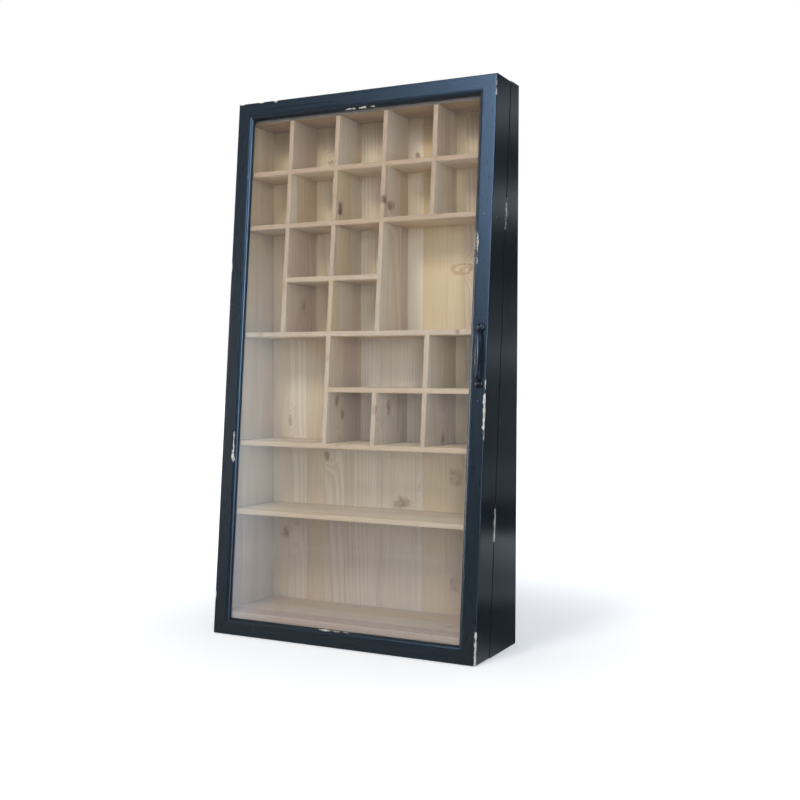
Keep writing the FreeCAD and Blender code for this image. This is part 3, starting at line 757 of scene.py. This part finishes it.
pine_back = pine("pine_back", Z, X, Y, [(x, BACK_FACE, *rest) for x, *rest in BACK_KNOTS])
pine_upright = pine("pine_upright", Z, Y, X, UPRIGHT_KNOTS, age_and_shade=0.3)
pine_level = pine("pine_level", X, Y, Z, LEVEL_KNOTS)
print("pine finishes", pine_back.name, pine_upright.name, pine_level.name)

# %% [markdown]
# Every board of the tray is a copy of its CAD board with softly sanded edges. A number called board,
# one per piece, shifts the figure, so that no two boards are cut from the same spot of the tree.

# %% Pine boards
SANDED = 0.45 * MM
GOLDEN = 0.618034


def pine_board(node, order, finish, slot):
    """A sanded copy of a CAD board that carries its own board number."""
    piece = add_piece(node + "_sanded", eased_copy(node, SANDED), finish, "case", slot, [node])
    number = piece.data.attributes.new("board", "FLOAT", "POINT")
    number.data.foreach_set("value", [order * GOLDEN % 1.0] * len(piece.data.vertices))


boards = sorted(n for n in frame["nodes"]
                if n.startswith(("tray", "shelf", "short", "divider", "tall", "back_board", "packing")))
for order, node in enumerate(boards):
    if node.startswith(("back_board", "packing")):
        pine_board(node, order, pine_back if "back" in node else pine_upright, "pine_boards")
    elif node.startswith(("divider", "tall", "tray_side")):
        pine_board(node, order, pine_upright, "pine")
    else:
        pine_board(node, order, pine_level, "pine")
print("pine boards", len(boards))

# %% [markdown]
# ## The pane
# Clear float glass with a faint diffuse film, thicker towards the foot, which stands partly for dust and
# partly is a painted reflection of the bright room; the bluish haze down the hinge side is a painted
# reflection of daylight. A path tracer finds lamps through refracting glass only by luck, so the light that
# casts shadows or has already been scattered goes straight through a transparent shader, while the eye
# still sees a true pane with its reflections.

# %% Glass
# the film colour serves both the dust and the painted reflection
DUST_AND_REFLECTION_COLOUR = (0.72, 0.82, 0.95, 1)
CLEAR_TINT = (0.97, 0.98, 0.98, 1)
DUST_AND_REFLECTION_HEIGHTS, DUST_AND_REFLECTION_SHARES = (0.75, 0.05), (0.004, 0.045)
REFLECTION_ASIDE, REFLECTION_HEIGHTS, REFLECTION_SHARE = (-0.10, -0.25), (0.85, 0.42), 0.105
GLASS_IOR = 1.45


def dust_and_reflection_glass():
    """A pane with a film of dust and painted reflection for the eye, and a clear way through for the light.
    """
    f = Finish("dust_and_reflection_glass")
    aside, _, height = f.axes()
    patches = f.span(f.noise(f.place, 5.0, 3.0), 0.3, 0.75, 0.4, 1.0)
    # painted reflection: a bluish film down the hinge side stands in for daylight mirrored in the pane
    painted_reflection = f.math("MULTIPLY", f.span(aside, *REFLECTION_ASIDE, 0.0, REFLECTION_SHARE), f.span(height, *REFLECTION_HEIGHTS))
    # the film thickens towards the foot, partly dust and partly painted reflection
    dust_and_reflection = f.math("MULTIPLY_ADD", patches, f.span(height, *DUST_AND_REFLECTION_HEIGHTS, *DUST_AND_REFLECTION_SHARES), painted_reflection)
    pane = f.add("BsdfPrincipled", {"Base Color": (1, 1, 1, 1), "Roughness": 0.0, "IOR": GLASS_IOR,
                                    "Transmission Weight": 1.0})
    film = f.add("BsdfDiffuse", {"Color": DUST_AND_REFLECTION_COLOUR})
    clear = f.add("BsdfTransparent", {"Color": CLEAR_TINT})
    seen = f.add("MixShader", {0: dust_and_reflection, 1: pane.outputs[0], 2: film.outputs[0]})
    ray = f.add("LightPath").outputs
    for kind in ("Is Shadow Ray", "Is Diffuse Ray"):
        seen = f.add("MixShader", {0: ray[kind], 1: seen.outputs[0], 2: clear.outputs[0]})
    return f.surface(seen)


frame["nodes"]["door_glass"].data.materials.clear()
frame["nodes"]["door_glass"].data.materials.append(dust_and_reflection_glass())

# %% [markdown]
# ## Metal fittings
# The bow handle is iron under a black enamel; the hinges are dull brass; clips, magnets and hanging
# plates are zinc-plated steel. The three differ in colour, grain and tarnish, so one function with named
# values makes them all.

# %% Metals
def metal(name, bright, dull, patch, roughness, grain, bare=1.0):
    """A metal that goes from bright to dull in patches; bare is 0 where a black enamel covers it."""
    f = Finish(name)
    tarnish = f.span(f.noise(f.place, patch, 4.0, 0.6), 0.35, 0.68)
    fine = f.noise(f.place, grain, 3.0, 0.6)
    worn = f.span(tarnish, 0.0, 1.0, roughness - 0.08, roughness + 0.1)
    shader = f.add("BsdfPrincipled", {"Base Color": f.mix(tarnish, bright, dull), "Metallic": bare,
                                      "Roughness": f.math("MULTIPLY_ADD", fine, 0.18, worn),
                                      "Normal": f.bump(fine, 0.06 * MM, 0.7)})
    return f.surface(shader)


black_iron = metal("black_iron", (0.014, 0.013, 0.013, 1), (0.007, 0.007, 0.008, 1),
                   patch=40.0, roughness=0.17, grain=900.0, bare=0.0)
dull_brass = metal("dull_brass", (0.50, 0.36, 0.15, 1), (0.25, 0.17, 0.07, 1),
                   patch=90.0, roughness=0.32, grain=1200.0)
zinc_steel = metal("zinc_steel", (0.52, 0.53, 0.55, 1), (0.36, 0.37, 0.39, 1),
                   patch=60.0, roughness=0.34, grain=1500.0)


def fitting(node, body, finish, slot):
    """A merged copy of a CAD fitting in its metal."""
    add_piece(node + "_piece", eased_copy(node, 0), finish, body, slot, [node])


for part in ("lower", "upper"):
    for body in ("case", "door"):
        fitting("hinge_" + part + "_" + body + "_leaf", body, dull_brass, "brass")
fitting("hinge_pins", "case", dull_brass, "brass")
fitting("handle", "door", black_iron, "black_iron")
fitting("glass_clips", "door", zinc_steel, "steel")
fitting("strike_discs", "door", zinc_steel, "steel")
fitting("catch_magnets", "case", zinc_steel, "steel")
fitting("hanging_plates", "case", zinc_steel, "steel")
print("fittings dressed in", black_iron.name, dull_brass.name, zinc_steel.name)

# %% [markdown]
# ## Screws and pins
# Screw heads repeat, so Geometry Nodes make them: a flattened ball gives the dome, a thin block cuts
# the slot, and the head is set on every point with a turn of its own, as a hand leaves it. The points
# are read from the CAD screws: the face that lies furthest out along the screw's direction.

# %% Heads on points
TURN_SEED = 4


def node_tree(name, sizes):
    """An empty Geometry Nodes tree with a mesh in and out and the named sizes as inputs."""
    tree = bpy.data.node_groups.new(name, "GeometryNodeTree")
    tree.interface.new_socket("Geometry", in_out="INPUT", socket_type="NodeSocketGeometry")
    for size in sizes:
        tree.interface.new_socket(size, in_out="INPUT", socket_type="NodeSocketFloat")
    tree.interface.new_socket("Finish", in_out="INPUT", socket_type="NodeSocketMaterial")
    tree.interface.new_socket("Geometry", in_out="OUTPUT", socket_type="NodeSocketGeometry")
    return tree


def on_points(tree, given, shape):
    """Sets a shape on every point, facing its way, with a turn of its own, and makes it real."""
    facing = grow(tree, "GeometryNodeInputNamedAttribute", {"Name": "facing"}, data_type="FLOAT_VECTOR")
    stand = grow(tree, "FunctionNodeAlignRotationToVector", {"Vector": facing.outputs["Attribute"]},
                 axis="Z")
    set_on = grow(tree, "GeometryNodeInstanceOnPoints",
                  {"Points": given["Geometry"], "Instance": shape, "Rotation": stand.outputs["Rotation"]})
    turn = grow(tree, "FunctionNodeRandomValue",
                {"Min": (0, 0, 0), "Max": (0, 0, math.pi), "Seed": TURN_SEED}, data_type="FLOAT_VECTOR")
    turned = grow(tree, "GeometryNodeRotateInstances",
                  {"Instances": set_on.outputs[0], "Rotation": turn.outputs[0]})
    real = grow(tree, "GeometryNodeRealizeInstances", {"Geometry": turned.outputs[0]})
    done = grow(tree, "GeometryNodeSetMaterial",
                {"Geometry": real.outputs[0], "Material": given["Finish"]})
    grow(tree, "NodeGroupOutput", {"Geometry": done.outputs[0]})


def scatter(name, tree, points, facing, sizes, finish, body, slot, nodes):
    """Runs a tree on points and keeps the result as a plain mesh that rides on a body."""
    seed_mesh = bpy.data.meshes.new(name + "_points")
    seed_mesh.from_pydata(points, [], [])
    ways = seed_mesh.attributes.new("facing", "FLOAT_VECTOR", "POINT")
    ways.data.foreach_set("vector", [c for _ in points for c in facing])
    holder = bpy.data.objects.new(name + "_points", seed_mesh)
    bpy.context.collection.objects.link(holder)
    modifier = holder.modifiers.new("spread", "NODES")
    modifier.node_group = tree
    for item in tree.interface.items_tree:
        if item.in_out == "INPUT" and item.name in sizes:
            modifier[item.identifier] = sizes[item.name]
        elif item.in_out == "INPUT" and item.name == "Finish":
            modifier[item.identifier] = finish
    graph = bpy.context.evaluated_depsgraph_get()
    mesh = bpy.data.meshes.new_from_object(holder.evaluated_get(graph))
    bpy.data.objects.remove(holder)
    bm = bmesh.new()
    bm.from_mesh(mesh)
    return add_piece(name, bm, finish, body, slot, nodes)


print("heads are turned by seed", TURN_SEED)

# %% Screw tree
def screw_tree():
    """Domed heads with a slot: radius, dome height, slot width and slot depth are the inputs."""
    tree = node_tree("slotted_screws", ("Radius", "Dome", "Slot", "Slot Depth"))
    given = grow(tree, "NodeGroupInput").outputs
    ball = grow(tree, "GeometryNodeMeshUVSphere", {"Segments": 24, "Rings": 10, "Radius": 1.0})
    reach = grow(tree, "ShaderNodeCombineXYZ",
                 {"X": given["Radius"], "Y": given["Radius"], "Z": given["Dome"]})
    dome = grow(tree, "GeometryNodeTransform",
                {"Geometry": ball.outputs["Mesh"], "Scale": reach.outputs[0]})
    length = grow(tree, "ShaderNodeMath", {0: given["Radius"], 1: 3.0}, operation="MULTIPLY")
    depth = grow(tree, "ShaderNodeMath", {0: given["Slot Depth"], 1: 2.0}, operation="MULTIPLY")
    block_size = grow(tree, "ShaderNodeCombineXYZ",
                      {"X": length.outputs[0], "Y": given["Slot"], "Z": depth.outputs[0]})
    block = grow(tree, "GeometryNodeMeshCube", {"Size": block_size.outputs[0]})
    lift = grow(tree, "ShaderNodeCombineXYZ", {"Z": given["Dome"]})
    raised = grow(tree, "GeometryNodeTransform",
                  {"Geometry": block.outputs["Mesh"], "Translation": lift.outputs[0]})
    cut = grow(tree, "GeometryNodeMeshBoolean",
               {"Mesh 1": dome.outputs[0], "Mesh 2": raised.outputs[0]}, operation="DIFFERENCE")
    on_points(tree, given, cut.outputs["Mesh"])
    return tree


slotted_screws = screw_tree()
print("tree", slotted_screws.name, "with", len(slotted_screws.nodes), "nodes")

# %% Screw heads
HEAD_FLAT = 0.02 * MM


def head_points(node, facing):
    """The middle of the outermost face of every separate solid in a CAD node."""
    bm = eased_copy(node, 0)
    left = set(bm.verts)
    heads = []
    while left:
        solid, edge = set(), [left.pop()]
        while edge:
            vert = edge.pop()
            solid.add(vert)
            fresh = {e.other_vert(vert) for e in vert.link_edges} & left
            left -= fresh
            edge += fresh
        outermost = max(v.co.dot(facing) for v in solid)
        rim = [v.co.copy() for v in solid if v.co.dot(facing) > outermost - HEAD_FLAT]
        heads.append(sum(rim, Vector()) / len(rim))
    bm.free()
    return heads


LEFT, BACK = Vector((-1, 0, 0)), Vector((0, 1, 0))
small_head = {"Radius": 2.2 * MM, "Dome": 0.35 * MM, "Slot": 0.7 * MM, "Slot Depth": 0.45 * MM}
handle_head = {"Radius": 3.2 * MM, "Dome": 1.6 * MM, "Slot": 0.8 * MM, "Slot Depth": 0.7 * MM}
SCREWS = (("hinge_case_screws", "case", LEFT, small_head, dull_brass, "brass"),
          ("hinge_door_screws", "door", LEFT, small_head, dull_brass, "brass"),
          ("glass_clip_screws", "door", INTO_DOOR, small_head, zinc_steel, "steel"),
          ("hanging_plate_screws", "case", BACK, small_head, zinc_steel, "steel"),
          ("handle_screws", "door", -INTO_DOOR, handle_head, black_iron, "black_iron"))
for node, body, facing, sizes, finish, slot in SCREWS:
    points = [point - facing * sizes["Dome"] for point in head_points(node, facing)]
    scatter(node + "_slotted", slotted_screws, points, facing, sizes, finish, body, slot, [node])
    print(node, len(points), "heads")

# %% [markdown]
# The back boards are pinned to every long shelf and to the bottom and top of the case, with two pins
# through each board. Their flat heads come from a second, smaller tree.

# %% Panel pins
PIN = {"Radius": 1.5 * MM, "Height": 0.6 * MM}
PIN_INSET = 0.28
HALF_SHELF, INTO_BOARD = 4.5 * MM, 9 * MM
BACK_BOARDS = 6


def pin_tree():
    """Flat round pin heads: radius and height are the inputs."""
    tree = node_tree("panel_pins", ("Radius", "Height"))
    given = grow(tree, "NodeGroupInput").outputs
    disc = grow(tree, "GeometryNodeMeshCylinder",
                {"Vertices": 16, "Radius": given["Radius"], "Depth": given["Height"]})
    on_points(tree, given, disc.outputs["Mesh"])
    return tree


levels = [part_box(node)[0].z + HALF_SHELF for node in boards if node.startswith("shelf")]
levels += [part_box("case_bottom")[1].z - INTO_BOARD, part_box("case_top")[0].z + INTO_BOARD]
pin_points = []
for k in range(BACK_BOARDS):
    low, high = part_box("back_board_%d" % (k + 1))
    for share in (PIN_INSET, 1 - PIN_INSET):
        pin_points += [Vector((low.x + share * (high.x - low.x), high.y, z)) for z in levels]
scatter("panel_pins", pin_tree(), pin_points, BACK, PIN, zinc_steel, "case", "steel", [])
print("panel pins", len(pin_points))

# %% [markdown]
# ## Floor and world
# The floor and the backdrop stay plain and pale, so that only the cabinet speaks. White comes from the
# floor's own glow and from a world that is white to the eye, to mirrors and to glass; the light on the
# cabinet stays at a level where a colour looks as it is written.

# %% Floor
FLOOR_REACH = 14.0
FLOOR_FADE, FLOOR_GLOW = (0.25, 1.1), (0.42, 1.0)
PAPER = (0.9, 0.9, 0.9, 1)
WHITE = (1, 1, 1, 1)


def seen_by(tree):
    """1 for the rays by which a thing is seen: from the eye, in mirrors and through glass."""
    rays = grow(tree, "ShaderNodeLightPath").outputs
    seen = rays["Is Camera Ray"]
    for kind in ("Is Glossy Ray", "Is Transmission Ray"):
        seen = grow(tree, "ShaderNodeMath", {0: seen, 1: rays[kind]}, operation="MAXIMUM").outputs[0]
    return seen


def pale_floor():
    """White paper that glows to the eye, less so round the cabinet, where its shadow falls."""
    f = Finish("pale_floor")
    paper = f.add("BsdfDiffuse", {"Color": PAPER})
    away = f.add("VectorMath", {0: f.place}, operation="LENGTH").outputs["Value"]
    strength = f.math("MULTIPLY", seen_by(f.tree), f.span(away, *FLOOR_FADE, *FLOOR_GLOW))
    glow = f.add("Emission", {"Color": WHITE, "Strength": strength})
    return f.surface(f.add("AddShader", {0: paper.outputs[0], 1: glow.outputs[0]}))


def laid(front, rear, z, reach):
    """The corners of a sheet that lies level between two depths."""
    return [(-reach, front, z), (reach, front, z), (reach, rear, z), (-reach, rear, z)]


def sheets(name, quads, finish):
    """Flat sheets of the studio, as one object of the stage."""
    mesh = bpy.data.meshes.new(name)
    mesh.from_pydata([corner for quad in quads for corner in quad], [],
                     [range(4 * k, 4 * k + 4) for k in range(len(quads))])
    mesh.materials.append(finish)
    made = bpy.data.objects.new(name, mesh)
    bpy.context.collection.objects.link(made)
    return made


sheets("studio_floor", [laid(-FLOOR_REACH, FLOOR_REACH, 0, FLOOR_REACH)], pale_floor())
print("floor", 2 * FLOOR_REACH, "m wide")

# %% World
WORLD_LIGHT = 0.32
SKY_COLOUR = (0.87, 0.96, 1.08, 1)

world = bpy.data.worlds.new("studio")
bpy.context.scene.world = world
world.use_nodes = True
sky = world.node_tree
sky.nodes.clear()
soft_sky = grow(sky, "ShaderNodeBackground", {"Color": SKY_COLOUR, "Strength": WORLD_LIGHT})
white = grow(sky, "ShaderNodeBackground", {"Color": WHITE})
choice = grow(sky, "ShaderNodeMixShader", {0: seen_by(sky), 1: soft_sky.outputs[0], 2: white.outputs[0]})
grow(sky, "ShaderNodeOutputWorld", {"Surface": choice.outputs[0]})
print("world lights with", WORLD_LIGHT, "and looks white")

# %% [markdown]
# ## Lamps
# A warm key lamp high at the front throws the shadow of each shelf on the back of its compartment, and a
# cool lamp at the right lifts the faces of the dividers. Four bluish panels, seen only in glossy surfaces,
# draw the sheen on the right stile, on the bead along the left of the pane and on the handle.

# %% Lamps
MIDDLE = Vector((0, -0.05, 0.5))
WARM, COOL, PALE_BLUE = (1.0, 0.965, 0.91), (0.74, 0.88, 1.0), (0.8, 0.9, 1.0)
STILE_BLUE, BEAD_BLUE = (0.38, 0.62, 1.0), (0.35, 0.62, 1.0)


def lamp(name, place, size, power, colour, lights=True, shines=True):
    """A soft panel aimed at the cabinet; it may light surfaces, shine in glossy ones, or both."""
    data = bpy.data.lights.new(name, "AREA")
    data.shape = "RECTANGLE"
    data.size, data.size_y = size
    data.energy = power
    data.color = colour
    made = bpy.data.objects.new(name, data)
    made.location = place
    made.rotation_euler = (MIDDLE - Vector(place)).to_track_quat("-Z", "Y").to_euler()
    made.visible_diffuse, made.visible_glossy = lights, shines
    bpy.context.collection.objects.link(made)
    return made


lamps = [lamp("key_lamp", (-0.35, -2.45, 2.3), (0.75, 0.75), 38, WARM, shines=False),
         lamp("side_lamp", (1.8, -2.8, 0.95), (0.8, 1.0), 36, COOL, shines=False),
         lamp("stile_sheen", (-0.6, -3.2, 2.35), (0.6, 1.8), 70, STILE_BLUE, lights=False),
         lamp("bead_sheen", (2.1, -2.6, 1.6), (0.7, 1.5), 120, BEAD_BLUE, lights=False),
         lamp("bead_glow", (2.1, -2.6, 0.42), (0.7, 0.85), 28, BEAD_BLUE, lights=False),
         lamp("handle_sheen", (-3.2, -1.6, 0.7), (0.4, 1.6), 45, PALE_BLUE, lights=False)]
print("lamps", len(lamps))

# %% [markdown]
# ## Flags
# Photographers of dark glossy things hang grey cloth, called flags, where the gloss should stay deep.
# Five flags do the same here, seen by reflections only. The one in front has a pale patch at its far
# left, and the one at the right has level bars, which draw the bands of light on the cabinet's flank.

# %% Flags
TENT_LEFT, TENT_RIGHT, TENT_FRONT, TENT_REAR, TENT_HIGH = -9, 7, -4.5, 4.5, 7
SIDE_END, CORNER = (TENT_RIGHT, 1.5), (1.2, TENT_REAR)
NEAR_SEAM, FAR_SEAM = -0.13, 1.3
ROOF, CLOTH_REACH = 5, 6
CLOTH_TINT = (0.80, 0.92, 1.0, 1)
FOLD_SCALE, FOLD_DARK, FOLD_LIGHT = (0.9, 0.9, 1.4), 0.1, 1.9
PATCH_ASIDE, PATCH_HEIGHTS = (-2.6, -3.7), (2.3, 0.9)
SIDE_BARS = [(1.99, 0.24, 0.42), (1.46, 0.17, 0.45), (0.6, 0.14, 0.22)]


def flag(name, quads, shade, patch=0.0, bars=()):
    """Grey cloth in folds; patch is how bright its left is, bars are height, reach and strength."""
    f = Finish(name)
    axes = f.axes()
    folds = f.noise(f.stretched(FOLD_SCALE), 1.0, 2.0)
    folds = f.span(folds, 0.35, 0.65, FOLD_DARK * shade, FOLD_LIGHT * shade)
    pale = f.math("MULTIPLY", f.span(axes[X], *PATCH_ASIDE, 0.0, patch), f.span(axes[Z], *PATCH_HEIGHTS))
    glow = f.math("ADD", folds, pale)
    for height, reach, strength in bars:
        away = f.math("ABSOLUTE", f.math("SUBTRACT", axes[Z], height))
        glow = f.math("ADD", glow, f.span(away, reach, 0.0, 0.0, strength))
    finish = f.surface(f.add("Emission", {"Color": CLOTH_TINT, "Strength": glow}))
    cloth = sheets(name, quads, finish)
    cloth.visible_camera = cloth.visible_diffuse = False
    cloth.visible_transmission = cloth.visible_shadow = False
    return cloth


def hung(start, end):
    """The corners of a sheet that hangs to the floor between two places."""
    return [(*start, 0), (*end, 0), (*end, TENT_HIGH), (*start, TENT_HIGH)]


front_cloth = hung((TENT_LEFT, TENT_FRONT), (TENT_RIGHT, TENT_FRONT))
side_cloth = hung((TENT_RIGHT, TENT_FRONT), SIDE_END)
corner_cloth = hung(SIDE_END, CORNER)
floor_cloth = laid(TENT_FRONT, NEAR_SEAM, MM, CLOTH_REACH)
roof_cloth = laid(TENT_FRONT, TENT_REAR, ROOF, CLOTH_REACH)
flags = [flag("front_flag", [front_cloth], 0.09, patch=0.7),
         flag("side_flag", [side_cloth, corner_cloth], 0.08, bars=SIDE_BARS),
         flag("level_flags", [floor_cloth, roof_cloth], 0.13),
         flag("near_floor_flag", [laid(NEAR_SEAM, FAR_SEAM, MM, CLOTH_REACH)], 0.4),
         flag("far_floor_flag", [laid(FAR_SEAM, TENT_REAR, MM, CLOTH_REACH)], 0.12)]
print("flags", len(flags))
